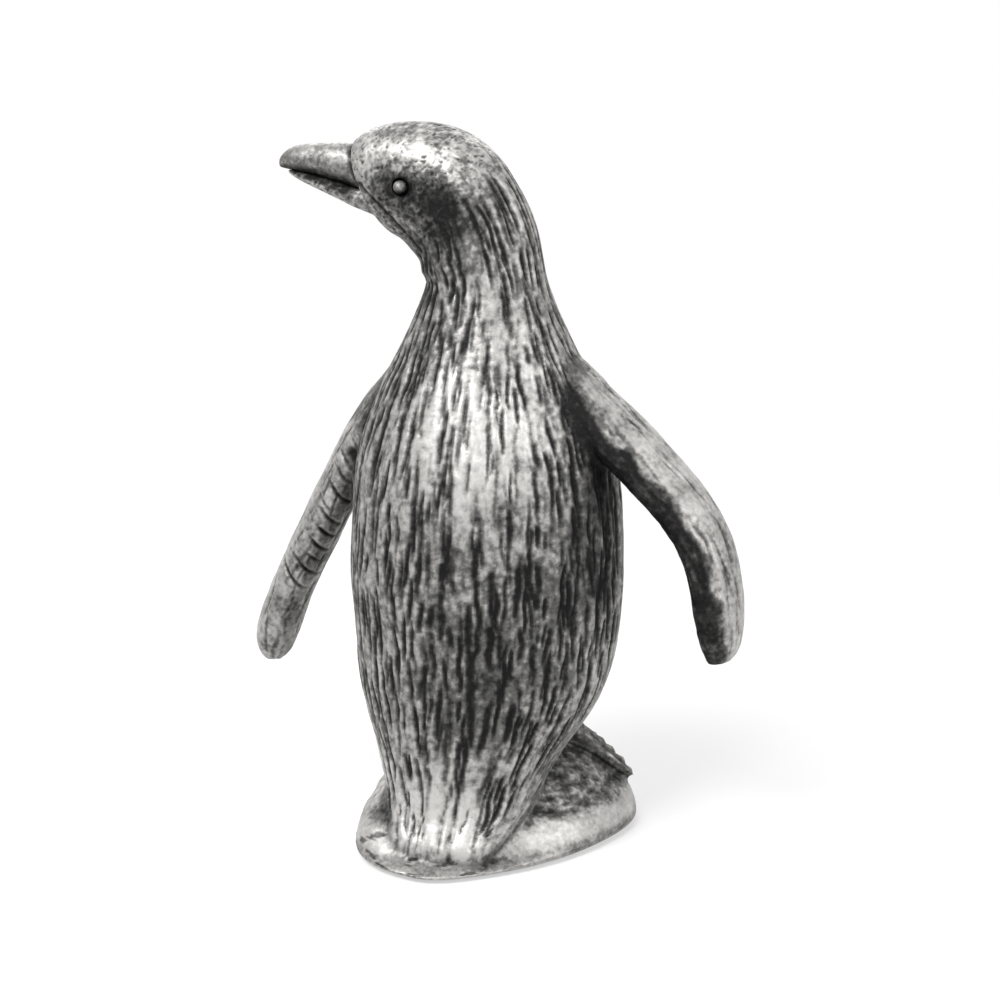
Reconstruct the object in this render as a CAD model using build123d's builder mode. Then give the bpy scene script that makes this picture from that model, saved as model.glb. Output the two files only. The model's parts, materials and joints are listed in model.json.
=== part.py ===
"""Penguin figurine on a rock: solid castings that are pinned and soldered together, on a felt-backed base.

Millimetres. +Z is up, the penguin faces -Y and its left side is +X. The origin lies on the surface that the
figurine stands on, below the axis of the body. A "share" is a part of the named size that it follows.
"""

import os
from math import cos, radians, sin, sqrt

from build123d import *

# Joints between the castings
solder_gap = 0.05  # between two castings that are soldered face to face
pin_clearance = 0.04  # all round a pin, a peg, a shank or a screw in its hole
hole_end_room = 0.3  # past the end of whatever stands in a blind hole

# Body: sections stacked from the tail up to the neck
neck_height = 56.6
body_width = 27.7
body_depth = 26.6
tail_setback = 12.6
neck_diameter = 12.2
# Height, width, depth and setback of each section, as shares of the first four sizes above
body_shares = (
    (0.026, 0.285, 0.110, 1.02),
    (0.034, 0.380, 0.190, 1.0),
    (0.057, 0.465, 0.315, 0.875),
    (0.104, 0.565, 0.465, 0.615),
    (0.175, 0.676, 0.660, 0.380),
    (0.233, 0.810, 0.797, 0.214),
    (0.309, 0.938, 0.917, 0.071),
    (0.420, 0.992, 0.992, 0.0),
    (0.539, 1.0, 1.0, 0.0),
    (0.654, 0.975, 0.947, 0.0),
    (0.760, 0.880, 0.842, 0.0),
    (0.848, 0.722, 0.700, 0.0),
    (0.922, 0.572, 0.574, 0.0),
)

# Head: sections that fan out from the neck to the bill, round a pivot in front of the throat
head_turn = 90  # degrees from straight ahead, towards the penguin's left
throat_reach = 8.6  # from the body's axis to the pivot
throat_radius = 3.7
crown_radius = 17.2
head_width = 9.6
# Angle of each section, then its throat radius, crown radius and width, as shares of the three sizes above
eye_fan_share = (83, 1.0, 0.925, 1.0)  # the section that the eyes stand on
fan_shares = (
    (25, 0.62, 0.853, 1.167),
    (45, 0.73, 0.898, 1.104),
    (65, 0.82, 0.943, 1.062),
    eye_fan_share,
    (99, 1.19, 0.895, 0.885),
    (108, 1.38, 0.870, 0.780),
    (112, 1.60, 0.845, 0.640),
)
eye_rise_share = 0.05  # of the half height of the eyes' section

# Eyes: beads with a shank, each in a dish
eye_bead_diameter = 1.3
eye_dish_diameter = 2.4
eye_dish_depth = 0.35
eye_proud = 0.35
eye_shank_diameter = 0.8
eye_shank_length = 2.0

# Bill: the upper half is a casting of its own, and the lower half belongs to the head
upper_bill_length = 9.4
upper_bill_height = 4.7
upper_bill_width = 4.4
upper_bill_seat_share = 0.625  # of the front of the head, from the throat to the brow
# Distance from the root, then rise, height and width, as shares of the length, the height twice and the width
upper_bill_shares = (
    (0.33, 0.17, 0.81, 0.86),
    (0.65, 0.20, 0.63, 0.73),
    (0.88, 0.17, 0.47, 0.54),
    (1.0, 0.085, 0.23, 0.28),
)
bill_tenon_diameter = 1.8
bill_tenon_length = 3.0
lower_bill_length = 9.9
lower_bill_height = 3.4
lower_bill_width = 4.0
lower_bill_seat_share = 0.165
lower_bill_bury = 2.0  # behind the front of the head
lower_bill_shares = (
    (0.29, 0.40, 0.68, 0.92),
    (0.66, 0.69, 0.44, 0.74),
    (0.87, 0.855, 0.31, 0.57),
    (1.0, 0.984, 0.16, 0.30),
)

# Flippers: sections along a curved line that starts inside the body
flipper_thickness = 4.3
flipper_chord = 7.6
flipper_twist = 11  # degrees that the leading edge turns outward
left_flipper_reach = 10.9
right_flipper_reach = 12.3
left_flipper_drop = 22.2
right_flipper_drop = 21.6
left_shoulder_share = 0.663  # of the neck's height
right_shoulder_share = 0.751
# Outward and upward place of each section from the shoulder, as shares of the reach and the drop
left_flipper_shares = (
    (-0.44, 0.44),
    (-0.22, 0.28),
    (0.03, 0.08),
    (0.285, -0.16),
    (0.545, -0.41),
    (0.72, -0.59),
    (0.87, -0.76),
    (0.96, -0.90),
    (1.0, -1.0),
)
right_flipper_shares = (
    (-0.36, 0.28),
    (-0.13, 0.145),
    (0.085, 0.03),
    (0.36, -0.11),
    (0.60, -0.245),
    (0.84, -0.43),
    (0.96, -0.64),
    (1.0, -0.84),
    (1.0, -1.0),
)
# Thickness and chord of each section, as shares of the flipper's own
flipper_section_shares = (
    (0.90, 0.90),
    (1.02, 1.0),
    (1.07, 1.06),
    (1.06, 1.06),
    (1.04, 1.04),
    (1.03, 1.0),
    (1.04, 0.94),
    (0.97, 0.82),
    (0.50, 0.45),
)

# Pins that hold the head and the flippers
neck_pin_diameter = 3.0
neck_pin_length = 12.0
flipper_pin_diameter = 1.6
flipper_pin_in_body = 4.5
flipper_pin_in_flipper = 2.0

# Feet: webbed feet that lean down the rock, each with a leg up to the belly and a peg into the rock
foot_length = 7.7
foot_width = 8.2
foot_thickness = 2.9
# Distance from the heel, then width and thickness, as shares of the foot's length, width and thickness
foot_shares = (
    (-0.22, 0.36, 0.75),
    (0.08, 0.52, 1.0),
    (0.45, 0.74, 0.96),
    (0.80, 0.97, 0.78),
    (1.0, 0.93, 0.45),
)
foot_pitch = 46  # degrees below level, towards the toes
foot_heading = 30  # degrees from straight ahead, outward
toe_spread = 26  # degrees between neighbouring toes
web_radius = 1.0  # of the notch between two toes
heel_across = 6.4
heel_ahead = 5.0
heel_height = 8.5
leg_across_share = 0.22  # of the body's width
leg_ahead_share = 0.12  # of the body's depth
leg_height_share = 0.30  # of the neck's height
leg_radius = 2.6
ankle_radius = 1.6
foot_peg_diameter = 1.8
foot_peg_length = 4.4  # from the middle of the foot's thickness
foot_peg_share = 0.45  # of the foot's length, from the heel

# Rock base
base_width = 25.4
base_length = 33.0
base_behind = 1.3  # from the body's axis to the middle of the outline
rock_height = 10.2
# Outline, seen from above, as shares of the half width and half length, and how much each point gives way
# below the tail
outline_shares = (
    (0.12, 0.99, 1.0),
    (0.70, 0.74, 0.2),
    (0.95, 0.18, 0.0),
    (1.0, -0.42, 0.0),
    (0.72, -0.86, 0.0),
    (0.0, -1.0, 0.0),
    (-0.76, -0.86, 0.0),
    (-1.12, -0.43, 0.0),
    (-1.06, 0.0, 0.15),
    (-0.86, 0.37, 0.4),
    (-0.30, 0.87, 1.0),
)
# Height of each level, as a share of the rock's height, its spread, as a share of the outline, and how far it
# gives way below the tail, as a share of the base's length
rock_shares = (
    (0.10, 1.0, 0.02),
    (0.20, 0.99, 0.085),
    (0.31, 0.96, 0.115),
    (0.45, 0.88, 0.105),
    (0.59, 0.77, 0.085),
    (0.67, 0.70, 0.07),
    (0.75, 0.61, 0.055),
    (0.83, 0.50, 0.04),
    (0.90, 0.39, 0.03),
    (0.95, 0.28, 0.02),
)
underside_share = 0.94  # of the outline

# Felt pad, sunk into the underside and standing a little proud of it
pad_thickness = 0.8
pad_proud = 0.3
pad_margin = 3.2
pad_clearance = 0.15

# Screw and dowel between the base and the body
screw_diameter = 3.0
screw_length = 12.0
screw_head_diameter = 5.5
screw_head_height = 2.0
screw_slot_width = 0.8
screw_slot_depth = 0.9
screw_ahead = 1.0
head_sink = 0.4  # of the screw's head, above the pad
dowel_diameter = 2.0
dowel_length = 8.0
dowel_behind = 5.5
dowel_floor = 2.2  # height of the dowel's foot

up = Vector(0, 0, 1)
heading = Vector(sin(radians(head_turn)), -cos(radians(head_turn)), 0)
pivot = heading * throat_reach + up * neck_height


def between(low, high, share):
    """The value that lies a share of the way from low to high."""
    return low + (high - low) * share


def body_half_width(height):
    """Half the body's width at a height, from the sections above and below it."""
    rows = [(row[0] * neck_height, row[1] * body_width / 2) for row in body_shares]
    rows.append((neck_height, neck_diameter / 2))
    for (low, low_width), (high, high_width) in zip(rows, rows[1:]):
        if height <= high:
            return between(low_width, high_width, (height - low) / (high - low))


def fan_radii(angle_row):
    """Throat and crown radius of one section of the head."""
    return angle_row[1] * throat_radius, angle_row[2] * crown_radius


def fan_plane(angle, radius):
    """Plane of a section of the head, with its origin at a radius from the pivot and its X axis outward."""
    turn = radians(angle)
    outward = up * sin(turn) - heading * cos(turn)
    along = up * cos(turn) + heading * sin(turn)
    return Plane(origin=pivot + outward * radius, x_dir=outward, z_dir=along)


def trunk_sections(grow):
    """Plane and two half axes of each section, from the tail to the root of the bill."""
    for number, (height, width, depth, setback) in enumerate(body_shares):
        level = height * neck_height - (grow if number == 0 else 0)
        origin = (0, setback * tail_setback, level)
        plane = Plane(origin=origin, x_dir=(-1, 0, 0), z_dir=(0, 0, 1))
        yield plane, width * body_width / 2, depth * body_depth / 2
    yield fan_plane(0, throat_reach), neck_diameter / 2, neck_diameter / 2
    for row in fan_shares:
        inner, outer = fan_radii(row)
        yield fan_plane(row[0], (inner + outer) / 2), (outer - inner) / 2, row[3] * head_width / 2


def trunk_form(grow):
    """Body and head in one, with no joint between them, grown all round."""
    with BuildPart() as form:
        for plane, half_x, half_y in trunk_sections(grow):
            with BuildSketch(plane):
                Ellipse(half_x + grow, half_y + grow)
        loft()
    return form.part


def bill_form(root, start, length, height, width, shares):
    """Half of the bill, from a distance before or behind its root plane to the tip."""
    with BuildPart() as form:
        with BuildSketch(root.offset(start)):
            Ellipse(height / 2, width / 2)
        for along, rise, height_share, width_share in shares:
            origin = root.origin + heading * (along * length) + up * (rise * height)
            with BuildSketch(Plane(origin=origin, x_dir=up, z_dir=heading)):
                Ellipse(height_share * height / 2, width_share * width / 2)
        loft()
    return form.part


def flipper_form(side, shoulder, reach, drop, place_shares):
    """A flipper that runs on into the body."""
    points = [shoulder + Vector(side * out * reach, 0, rise * drop) for out, rise in place_shares]
    with BuildPart() as form:
        befores, afters = points[:1] + points[:-1], points[1:] + points[-1:]
        for place, before, after, (thick, chord) in zip(points, befores, afters, flipper_section_shares):
            along = (after - before).normalized()
            front = Vector(0, -1, 0)
            outward = front.cross(along) * side
            twist = radians(flipper_twist)
            thin_way = outward * cos(twist) - front * sin(twist)
            with BuildSketch(Plane(origin=place, x_dir=thin_way, z_dir=along)):
                Ellipse(thick * flipper_thickness / 2, chord * flipper_chord / 2)
        loft()
    return form.part


def foot_form(grow):
    """The right foot with its leg, before the body is cut out of it, grown all round."""
    webs = []
    for turn in (-toe_spread / 2, toe_spread / 2):
        way = sole.x_dir * cos(radians(turn)) + sole.y_dir * sin(radians(turn))
        webs.append(Plane(origin=ankle + way * foot_length, x_dir=sole.x_dir, z_dir=sole.z_dir))
    first, last = foot_shares[0], foot_shares[-1]
    with BuildPart() as form:
        for row in foot_shares:
            along, width, thickness = row
            end_room = grow * ((row is last) - (row is first))
            origin = ankle + sole.x_dir * (along * foot_length + end_room)
            with BuildSketch(Plane(origin=origin, x_dir=sole.y_dir, z_dir=sole.x_dir)):
                Ellipse(width * foot_width / 2 + grow, thickness * foot_thickness / 2 + grow)
        loft()
        with Locations(*webs):
            Cylinder(web_radius - grow, 2 * foot_thickness, mode=Mode.SUBTRACT)
        with Locations(leg_plane):
            Cone(
                ankle_radius + grow,
                leg_radius + grow,
                leg_length,
                align=(Align.CENTER, Align.CENTER, Align.MIN),
            )
    return form.part


def outline_points(spread, drawn, inset):
    """Points of the base's outline, spread and drawn in below the tail by shares, and inset all round."""
    points = []
    for x, y, give in outline_shares:
        behind = y * (spread * base_length / 2 - inset) - give * drawn * base_length
        points.append((x * (spread * base_width / 2 - inset), base_behind + behind))
    return points


def eye_place(hand):
    """Point on the surface of the head at the middle of an eye."""
    angle, *_, width = eye_fan_share
    inner, outer = fan_radii(eye_fan_share)
    rise = eye_rise_share * (outer - inner) / 2
    across = width * head_width / 2 * sqrt(1 - eye_rise_share**2)
    return fan_plane(angle, (inner + outer) / 2 + rise).origin + side_way * (hand * across)


os.makedirs("parts", exist_ok=True)

side_way = up.cross(heading)  # towards the penguin's left eye
front_angle = fan_shares[-1][0]
front_inner, front_outer = fan_radii(fan_shares[-1])
upper_root = fan_plane(front_angle, between(front_inner, front_outer, upper_bill_seat_share))
lower_root = fan_plane(front_angle, between(front_inner, front_outer, lower_bill_seat_share))
neck_plane = Plane.XY.offset(neck_height)
screw_seat = pad_thickness + head_sink + screw_head_height
bead_sink = eye_bead_diameter / 2 - eye_proud
dish_radius = (eye_dish_diameter**2 / 4 + eye_dish_depth**2) / (2 * eye_dish_depth)
left_shoulder_height = left_shoulder_share * neck_height
right_shoulder_height = right_shoulder_share * neck_height
left_shoulder = Vector(body_half_width(left_shoulder_height), 0, left_shoulder_height)
right_shoulder = Vector(-body_half_width(right_shoulder_height), 0, right_shoulder_height)
left_out = Plane(origin=left_shoulder, z_dir=(1, 0, 0))
right_out = Plane(origin=right_shoulder, z_dir=(-1, 0, 0))
underside = Plane(origin=(0, -screw_ahead, 0), z_dir=(0, 0, -1))
from_below = underside.offset(-screw_seat)
dowel_plane = Plane(origin=(0, dowel_behind, dowel_floor), z_dir=(0, 0, -1))
flipper_hole_radius = flipper_pin_diameter / 2 + pin_clearance
rock_levels = [(pad_proud, underside_share, 0)]
rock_levels += [(height * rock_height, spread, drawn) for height, spread, drawn in rock_shares]
foot_way = Vector(-sin(radians(foot_heading)), -cos(radians(foot_heading)), 0)
sole = Plane(
    origin=(-heel_across, -heel_ahead, heel_height),
    x_dir=foot_way * cos(radians(foot_pitch)) - up * sin(radians(foot_pitch)),
    z_dir=foot_way * sin(radians(foot_pitch)) + up * cos(radians(foot_pitch)),
)
ankle = sole.origin + sole.z_dir * (foot_thickness / 2)
leg_top = Vector(
    -leg_across_share * body_width, -leg_ahead_share * body_depth, leg_height_share * neck_height
)
leg_plane = Plane(origin=ankle, x_dir=sole.y_dir, z_dir=leg_top - ankle)
leg_length = (leg_top - ankle).length
peg_plane = Plane(
    origin=ankle + sole.x_dir * (foot_peg_share * foot_length), x_dir=sole.x_dir, z_dir=sole.z_dir
)

trunk = trunk_form(0)
trunk_room = trunk_form(solder_gap)
lower_bill = bill_form(
    lower_root, -lower_bill_bury, lower_bill_length, lower_bill_height, lower_bill_width, lower_bill_shares
)
upper_bill_shape = bill_form(
    upper_root, solder_gap, upper_bill_length, upper_bill_height, upper_bill_width, upper_bill_shares
)
left_flipper_shape = flipper_form(
    1, left_shoulder, left_flipper_reach, left_flipper_drop, left_flipper_shares
)
right_flipper_shape = flipper_form(
    -1, right_shoulder, right_flipper_reach, right_flipper_drop, right_flipper_shares
)
foot_shape = foot_form(0)
foot_grown = foot_form(solder_gap)
upper_bill_room = bill_form(
    upper_root,
    0,
    upper_bill_length,
    upper_bill_height + 2 * solder_gap,
    upper_bill_width + 2 * solder_gap,
    upper_bill_shares,
)

# Body
with BuildPart() as body:
    add(trunk)
    split(bisect_by=neck_plane.offset(-solder_gap / 2), keep=Keep.BOTTOM)
    with Locations(neck_plane):
        Hole(neck_pin_diameter / 2 + pin_clearance, neck_pin_length / 2 + hole_end_room)
    with Locations(left_out, right_out):
        Hole(flipper_hole_radius, flipper_pin_in_body + hole_end_room)
    with Locations(from_below):
        Hole(screw_diameter / 2 + pin_clearance, screw_length + hole_end_room)
    with Locations(dowel_plane):
        Hole(dowel_diameter / 2 + pin_clearance, dowel_length + hole_end_room)

# Head
with BuildPart() as head:
    add(trunk)
    split(bisect_by=neck_plane.offset(solder_gap / 2), keep=Keep.TOP)
    add(lower_bill)
    add(upper_bill_room, mode=Mode.SUBTRACT)
    with Locations(Plane(origin=neck_plane.origin, z_dir=(0, 0, -1))):
        Hole(neck_pin_diameter / 2 + pin_clearance, neck_pin_length / 2 + hole_end_room)
    with Locations(upper_root):
        Cylinder(
            bill_tenon_diameter / 2 + pin_clearance,
            bill_tenon_length + hole_end_room,
            align=(Align.CENTER, Align.CENTER, Align.MAX),
            mode=Mode.SUBTRACT,
        )
    for hand in (1, -1):
        out = side_way * hand
        with Locations(eye_place(hand) + out * (dish_radius - eye_dish_depth)):
            Sphere(dish_radius, mode=Mode.SUBTRACT)
        with Locations(eye_place(hand) - out * bead_sink):
            Sphere(eye_bead_diameter / 2 + pin_clearance, mode=Mode.SUBTRACT)
        with Locations(Plane(origin=eye_place(hand) - out * bead_sink, z_dir=out)):
            Hole(eye_shank_diameter / 2 + pin_clearance, eye_shank_length + hole_end_room)

# Upper half of the bill
with BuildPart() as upper_bill:
    add(upper_bill_shape)
    with Locations(upper_root.offset(solder_gap)):
        Cylinder(
            bill_tenon_diameter / 2, bill_tenon_length, align=(Align.CENTER, Align.CENTER, Align.MAX)
        )

# Eyes
with BuildPart() as left_eye:
    with Locations(Plane(origin=eye_place(1) - side_way * bead_sink, z_dir=side_way)):
        Sphere(eye_bead_diameter / 2)
        Cylinder(
            eye_shank_diameter / 2, eye_shank_length, align=(Align.CENTER, Align.CENTER, Align.MAX)
        )

with BuildPart() as right_eye:
    with Locations(Plane(origin=eye_place(-1) + side_way * bead_sink, z_dir=side_way * -1)):
        Sphere(eye_bead_diameter / 2)
        Cylinder(
            eye_shank_diameter / 2, eye_shank_length, align=(Align.CENTER, Align.CENTER, Align.MAX)
        )

# Flippers
with BuildPart() as left_flipper:
    add(left_flipper_shape)
    add(trunk_room, mode=Mode.SUBTRACT)
    with Locations(Plane(origin=left_shoulder, z_dir=(-1, 0, 0))):
        Hole(flipper_hole_radius, flipper_pin_in_flipper + hole_end_room)

with BuildPart() as right_flipper:
    add(right_flipper_shape)
    add(trunk_room, mode=Mode.SUBTRACT)
    with Locations(Plane(origin=right_shoulder, z_dir=(1, 0, 0))):
        Hole(flipper_hole_radius, flipper_pin_in_flipper + hole_end_room)

# Feet
with BuildPart() as right_foot:
    add(foot_shape)
    add(trunk_room, mode=Mode.SUBTRACT)
    with Locations(peg_plane):
        Cylinder(foot_peg_diameter / 2, foot_peg_length, align=(Align.CENTER, Align.CENTER, Align.MAX))

with BuildPart() as left_foot:
    add(right_foot.part)
    mirror(about=Plane.YZ, mode=Mode.REPLACE)

# Room in the rock for the right foot and its peg
with BuildPart() as foot_room:
    add(foot_grown)
    with Locations(peg_plane):
        Cylinder(
            foot_peg_diameter / 2 + pin_clearance,
            foot_peg_length + hole_end_room,
            align=(Align.CENTER, Align.CENTER, Align.MAX),
        )

# Rock base
with BuildPart() as base_rock:
    for level, spread, drawn in rock_levels:
        with BuildSketch(Plane.XY.offset(level)):
            with BuildLine():
                Spline(*outline_points(spread, drawn, 0), periodic=True)
            make_face()
    loft()
    add(trunk_room, mode=Mode.SUBTRACT)
    add(foot_room.part, mode=Mode.SUBTRACT)
    mirror(foot_room.part, about=Plane.YZ, mode=Mode.SUBTRACT)
    with Locations(from_below):
        Hole(screw_diameter / 2 + pin_clearance, rock_height)
    with Locations(underside):
        Hole(screw_head_diameter / 2 + pin_clearance, screw_seat)
    with Locations(dowel_plane.offset(hole_end_room)):
        Cylinder(
            dowel_diameter / 2 + pin_clearance,
            rock_height,
            align=(Align.CENTER, Align.CENTER, Align.MAX),
            mode=Mode.SUBTRACT,
        )
    with BuildSketch(Plane.XY):
        with BuildLine():
            Spline(*outline_points(underside_share, 0, pad_margin - pad_clearance), periodic=True)
        make_face()
    extrude(amount=pad_thickness, mode=Mode.SUBTRACT)

# Felt pad
with BuildPart() as base_pad:
    with BuildSketch(Plane.XY):
        with BuildLine():
            Spline(*outline_points(underside_share, 0, pad_margin), periodic=True)
        make_face()
    extrude(amount=pad_thickness)

# Pins, dowel and screw
with BuildPart() as neck_pin:
    with Locations(neck_plane):
        Cylinder(neck_pin_diameter / 2, neck_pin_length)

with BuildPart() as left_flipper_pin:
    with Locations(left_out.offset(-flipper_pin_in_body)):
        Cylinder(
            flipper_pin_diameter / 2,
            flipper_pin_in_body + flipper_pin_in_flipper,
            align=(Align.CENTER, Align.CENTER, Align.MIN),
        )

with BuildPart() as right_flipper_pin:
    with Locations(right_out.offset(-flipper_pin_in_body)):
        Cylinder(
            flipper_pin_diameter / 2,
            flipper_pin_in_body + flipper_pin_in_flipper,
            align=(Align.CENTER, Align.CENTER, Align.MIN),
        )

with BuildPart() as base_dowel:
    with Locations((0, dowel_behind, dowel_floor)):
        Cylinder(dowel_diameter / 2, dowel_length, align=(Align.CENTER, Align.CENTER, Align.MIN))

with BuildPart() as base_screw:
    with Locations(from_below.origin):
        Cylinder(screw_diameter / 2, screw_length, align=(Align.CENTER, Align.CENTER, Align.MIN))
        Cylinder(screw_head_diameter / 2, screw_head_height, align=(Align.CENTER, Align.CENTER, Align.MAX))
    with Locations((0, -screw_ahead, screw_seat - screw_head_height)):
        Box(
            screw_head_diameter,
            screw_slot_width,
            screw_slot_depth,
            align=(Align.CENTER, Align.CENTER, Align.MIN),
            mode=Mode.SUBTRACT,
        )

body.part.label = "body"
head.part.label = "head"
upper_bill.part.label = "upper bill"
left_eye.part.label = "left eye"
right_eye.part.label = "right eye"
left_flipper.part.label = "left flipper"
right_flipper.part.label = "right flipper"
left_foot.part.label = "left foot"
right_foot.part.label = "right foot"
base_rock.part.label = "rock base"
base_pad.part.label = "felt pad"
neck_pin.part.label = "neck pin"
left_flipper_pin.part.label = "left flipper pin"
right_flipper_pin.part.label = "right flipper pin"
base_dowel.part.label = "base dowel"
base_screw.part.label = "base screw"

export_step(body.part, "parts/body.step")
export_step(head.part, "parts/head.step")
export_step(upper_bill.part, "parts/upper_bill.step")
export_step(left_eye.part, "parts/left_eye.step")
export_step(right_eye.part, "parts/right_eye.step")
export_step(left_flipper.part, "parts/left_flipper.step")
export_step(right_flipper.part, "parts/right_flipper.step")
export_step(left_foot.part, "parts/left_foot.step")
export_step(right_foot.part, "parts/right_foot.step")
export_step(base_rock.part, "parts/base_rock.step")
export_step(base_pad.part, "parts/base_pad.step")
export_step(neck_pin.part, "parts/neck_pin.step")
export_step(left_flipper_pin.part, "parts/left_flipper_pin.step")
export_step(right_flipper_pin.part, "parts/right_flipper_pin.step")
export_step(base_dowel.part, "parts/base_dowel.step")
export_step(base_screw.part, "parts/base_screw.step")
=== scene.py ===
"""Looks of the penguin figurine: chased and antiqued pewter castings on a felt-backed rock.

Objects are in metres in the row frame, and the arrays are in millimetres. The bird faces -Y, its left
side is +X and its head is turned towards +X.
"""

import json
import math

import bmesh
import bpy
import numpy as np
from mathutils import Matrix, Vector, noise
from mathutils.bvhtree import BVHTree

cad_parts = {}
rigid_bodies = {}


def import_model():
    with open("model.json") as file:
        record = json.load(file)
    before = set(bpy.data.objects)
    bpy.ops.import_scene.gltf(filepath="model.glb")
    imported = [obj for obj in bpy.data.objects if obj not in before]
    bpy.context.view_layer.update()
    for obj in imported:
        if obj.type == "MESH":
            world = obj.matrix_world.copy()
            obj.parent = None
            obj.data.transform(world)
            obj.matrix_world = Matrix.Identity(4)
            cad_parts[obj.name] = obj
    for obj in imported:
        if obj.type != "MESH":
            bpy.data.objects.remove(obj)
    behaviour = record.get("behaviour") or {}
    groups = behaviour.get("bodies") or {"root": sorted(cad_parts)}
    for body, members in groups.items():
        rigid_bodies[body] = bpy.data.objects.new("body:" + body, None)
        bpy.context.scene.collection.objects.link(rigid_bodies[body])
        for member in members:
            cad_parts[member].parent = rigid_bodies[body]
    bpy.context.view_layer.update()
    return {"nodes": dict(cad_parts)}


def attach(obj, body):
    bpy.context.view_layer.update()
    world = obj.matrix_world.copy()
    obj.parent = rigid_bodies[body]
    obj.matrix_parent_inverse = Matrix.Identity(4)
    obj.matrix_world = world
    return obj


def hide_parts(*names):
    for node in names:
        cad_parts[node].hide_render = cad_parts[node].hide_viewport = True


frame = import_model()

MM = 0.001
FULL_TURN = 2 * math.pi


# Meshes

WELD = 0.001  # corners of a CAD mesh that are nearer than this are joined
TINY = 1e-12  # least length that a normal is divided by
EASE_STEP = 0.5  # share of the way to its neighbours' mean that a round of smoothing moves a vertex
CAP_SINK = 0.5  # of the cap that closes a piece, below its rim
CAP_FLOOR = 1.0  # no cap goes below this height, just above the felt
SEED_STEPS = (7.3, 3.1, 5.7)  # how far each seed shifts the noise
FRACTAL_H, LACUNARITY = 1.0, 2.0


def remeshed(nodes, voxel, rounds, grow):
    """A fine even skin round CAD castings, grown first so that gaps narrower than twice that close."""
    work = bmesh.new()
    for node in nodes:
        work.from_mesh(frame["nodes"][node].data)
    bmesh.ops.remove_doubles(work, verts=work.verts, dist=WELD * MM)
    work.normal_update()
    for vertex in work.verts:
        vertex.co += vertex.normal * (grow * MM)
    rough = bpy.data.meshes.new("rough")
    work.to_mesh(rough)
    work.free()
    holder = bpy.data.objects.new("rough", rough)
    bpy.context.collection.objects.link(holder)
    remesh = holder.modifiers.new("remesh", "REMESH")
    remesh.mode = "VOXEL"
    remesh.voxel_size = voxel * MM
    ease = holder.modifiers.new("ease", "SMOOTH")
    ease.factor = EASE_STEP
    ease.iterations = rounds
    graph = bpy.context.evaluated_depsgraph_get()
    fine = bpy.data.meshes.new_from_object(holder.evaluated_get(graph))
    bpy.data.objects.remove(holder)
    bpy.data.meshes.remove(rough)
    return fine


def array_of(source, field, width, kind=np.float64):
    """A field of a Blender collection as rows."""
    flat = np.empty(len(source) * width, dtype=kind)
    source.foreach_get(field, flat)
    return flat.reshape(-1, width)


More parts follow.
